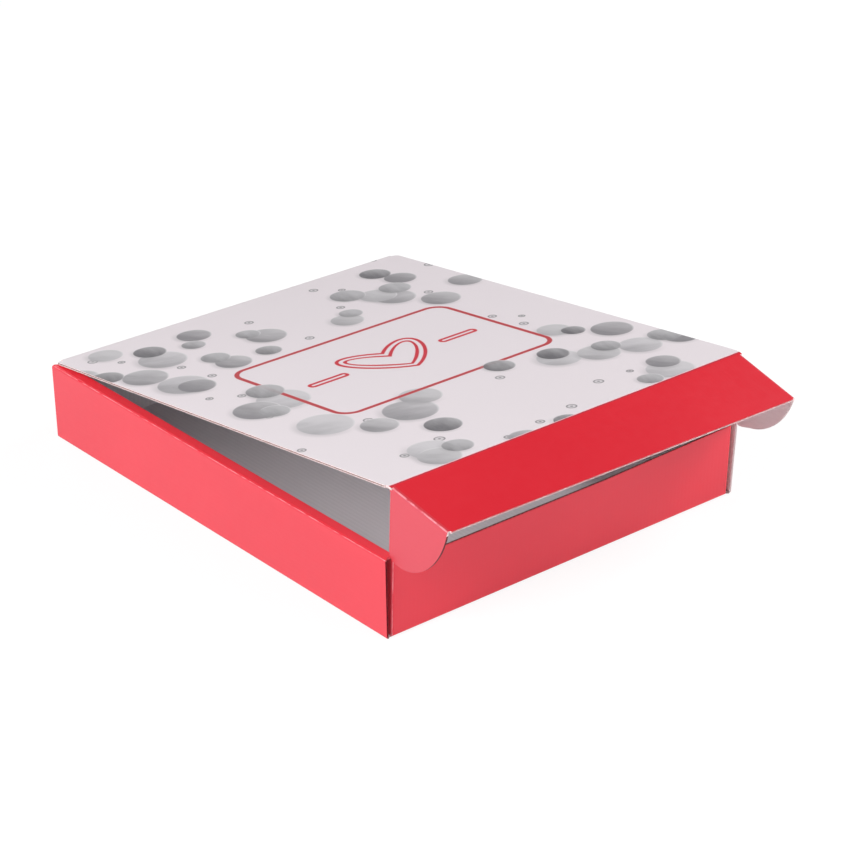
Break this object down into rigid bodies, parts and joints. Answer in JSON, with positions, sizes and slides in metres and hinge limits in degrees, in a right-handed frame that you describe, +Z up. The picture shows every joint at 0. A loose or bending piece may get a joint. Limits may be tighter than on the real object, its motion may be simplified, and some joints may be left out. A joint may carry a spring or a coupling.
{
  "type": "corrugated gift box",
  "caption": "Flat folded corrugated gift box with double side walls, a hinged lid and a front tuck flap with rounded ears.",
  "frame": {"origin": "middle of the tray's underside, on the surface the box stands on", "axes": "+X to the right along the front wall, +Y from the front wall to the lid's hinge, +Z up"},
  "size_m": [0.305, 0.395, 0.1029],
  "materials": {
    "tray_board": "printed red liner with a thin satin film outside, uncoated pale grey liner inside",
    "lid_board": "printed white liner with a thin satin film outside, uncoated pale grey liner inside",
    "flap_board": "printed red liner with a thin satin film outside, uncoated pale grey liner inside",
    "ear_board": "printed red liner with a thin satin film outside, uncoated pale grey liner inside"
  },
  "bodies": {
    "tray": {"tray": "tray_board"},
    "lid": {"lid": "lid_board"},
    "tuck_flap": {"tuck_flap": "flap_board"},
    "ear_left": {"ear_left": "ear_board"},
    "ear_right": {"ear_right": "ear_board"}
  },
  "joints": [
    {"name": "lid_hinge", "type": "hinge", "parent": "tray", "child": "lid", "pos_m": [0, 0.1717, 0.0564], "axis": [-1, 0, 0], "range_deg": [-7.6, 172.4]},
    {"name": "flap_hinge", "type": "hinge", "parent": "lid", "child": "tuck_flap", "pos_m": [0, -0.17067, 0.10208], "axis": [1, 0, 0], "range_deg": [-17.6, 3.5]},
    {"name": "ear_left_hinge", "type": "hinge", "parent": "tuck_flap", "child": "ear_left", "pos_m": [-0.14773, -0.17067, 0.10208], "axis": [0, 0.9848, 0.1736], "range_deg": [0, 90]},
    {"name": "ear_right_hinge", "type": "hinge", "parent": "tuck_flap", "child": "ear_right", "pos_m": [0.14773, -0.17067, 0.10208], "axis": [0, -0.9848, -0.1736], "range_deg": [0, 90]}
  ]
}
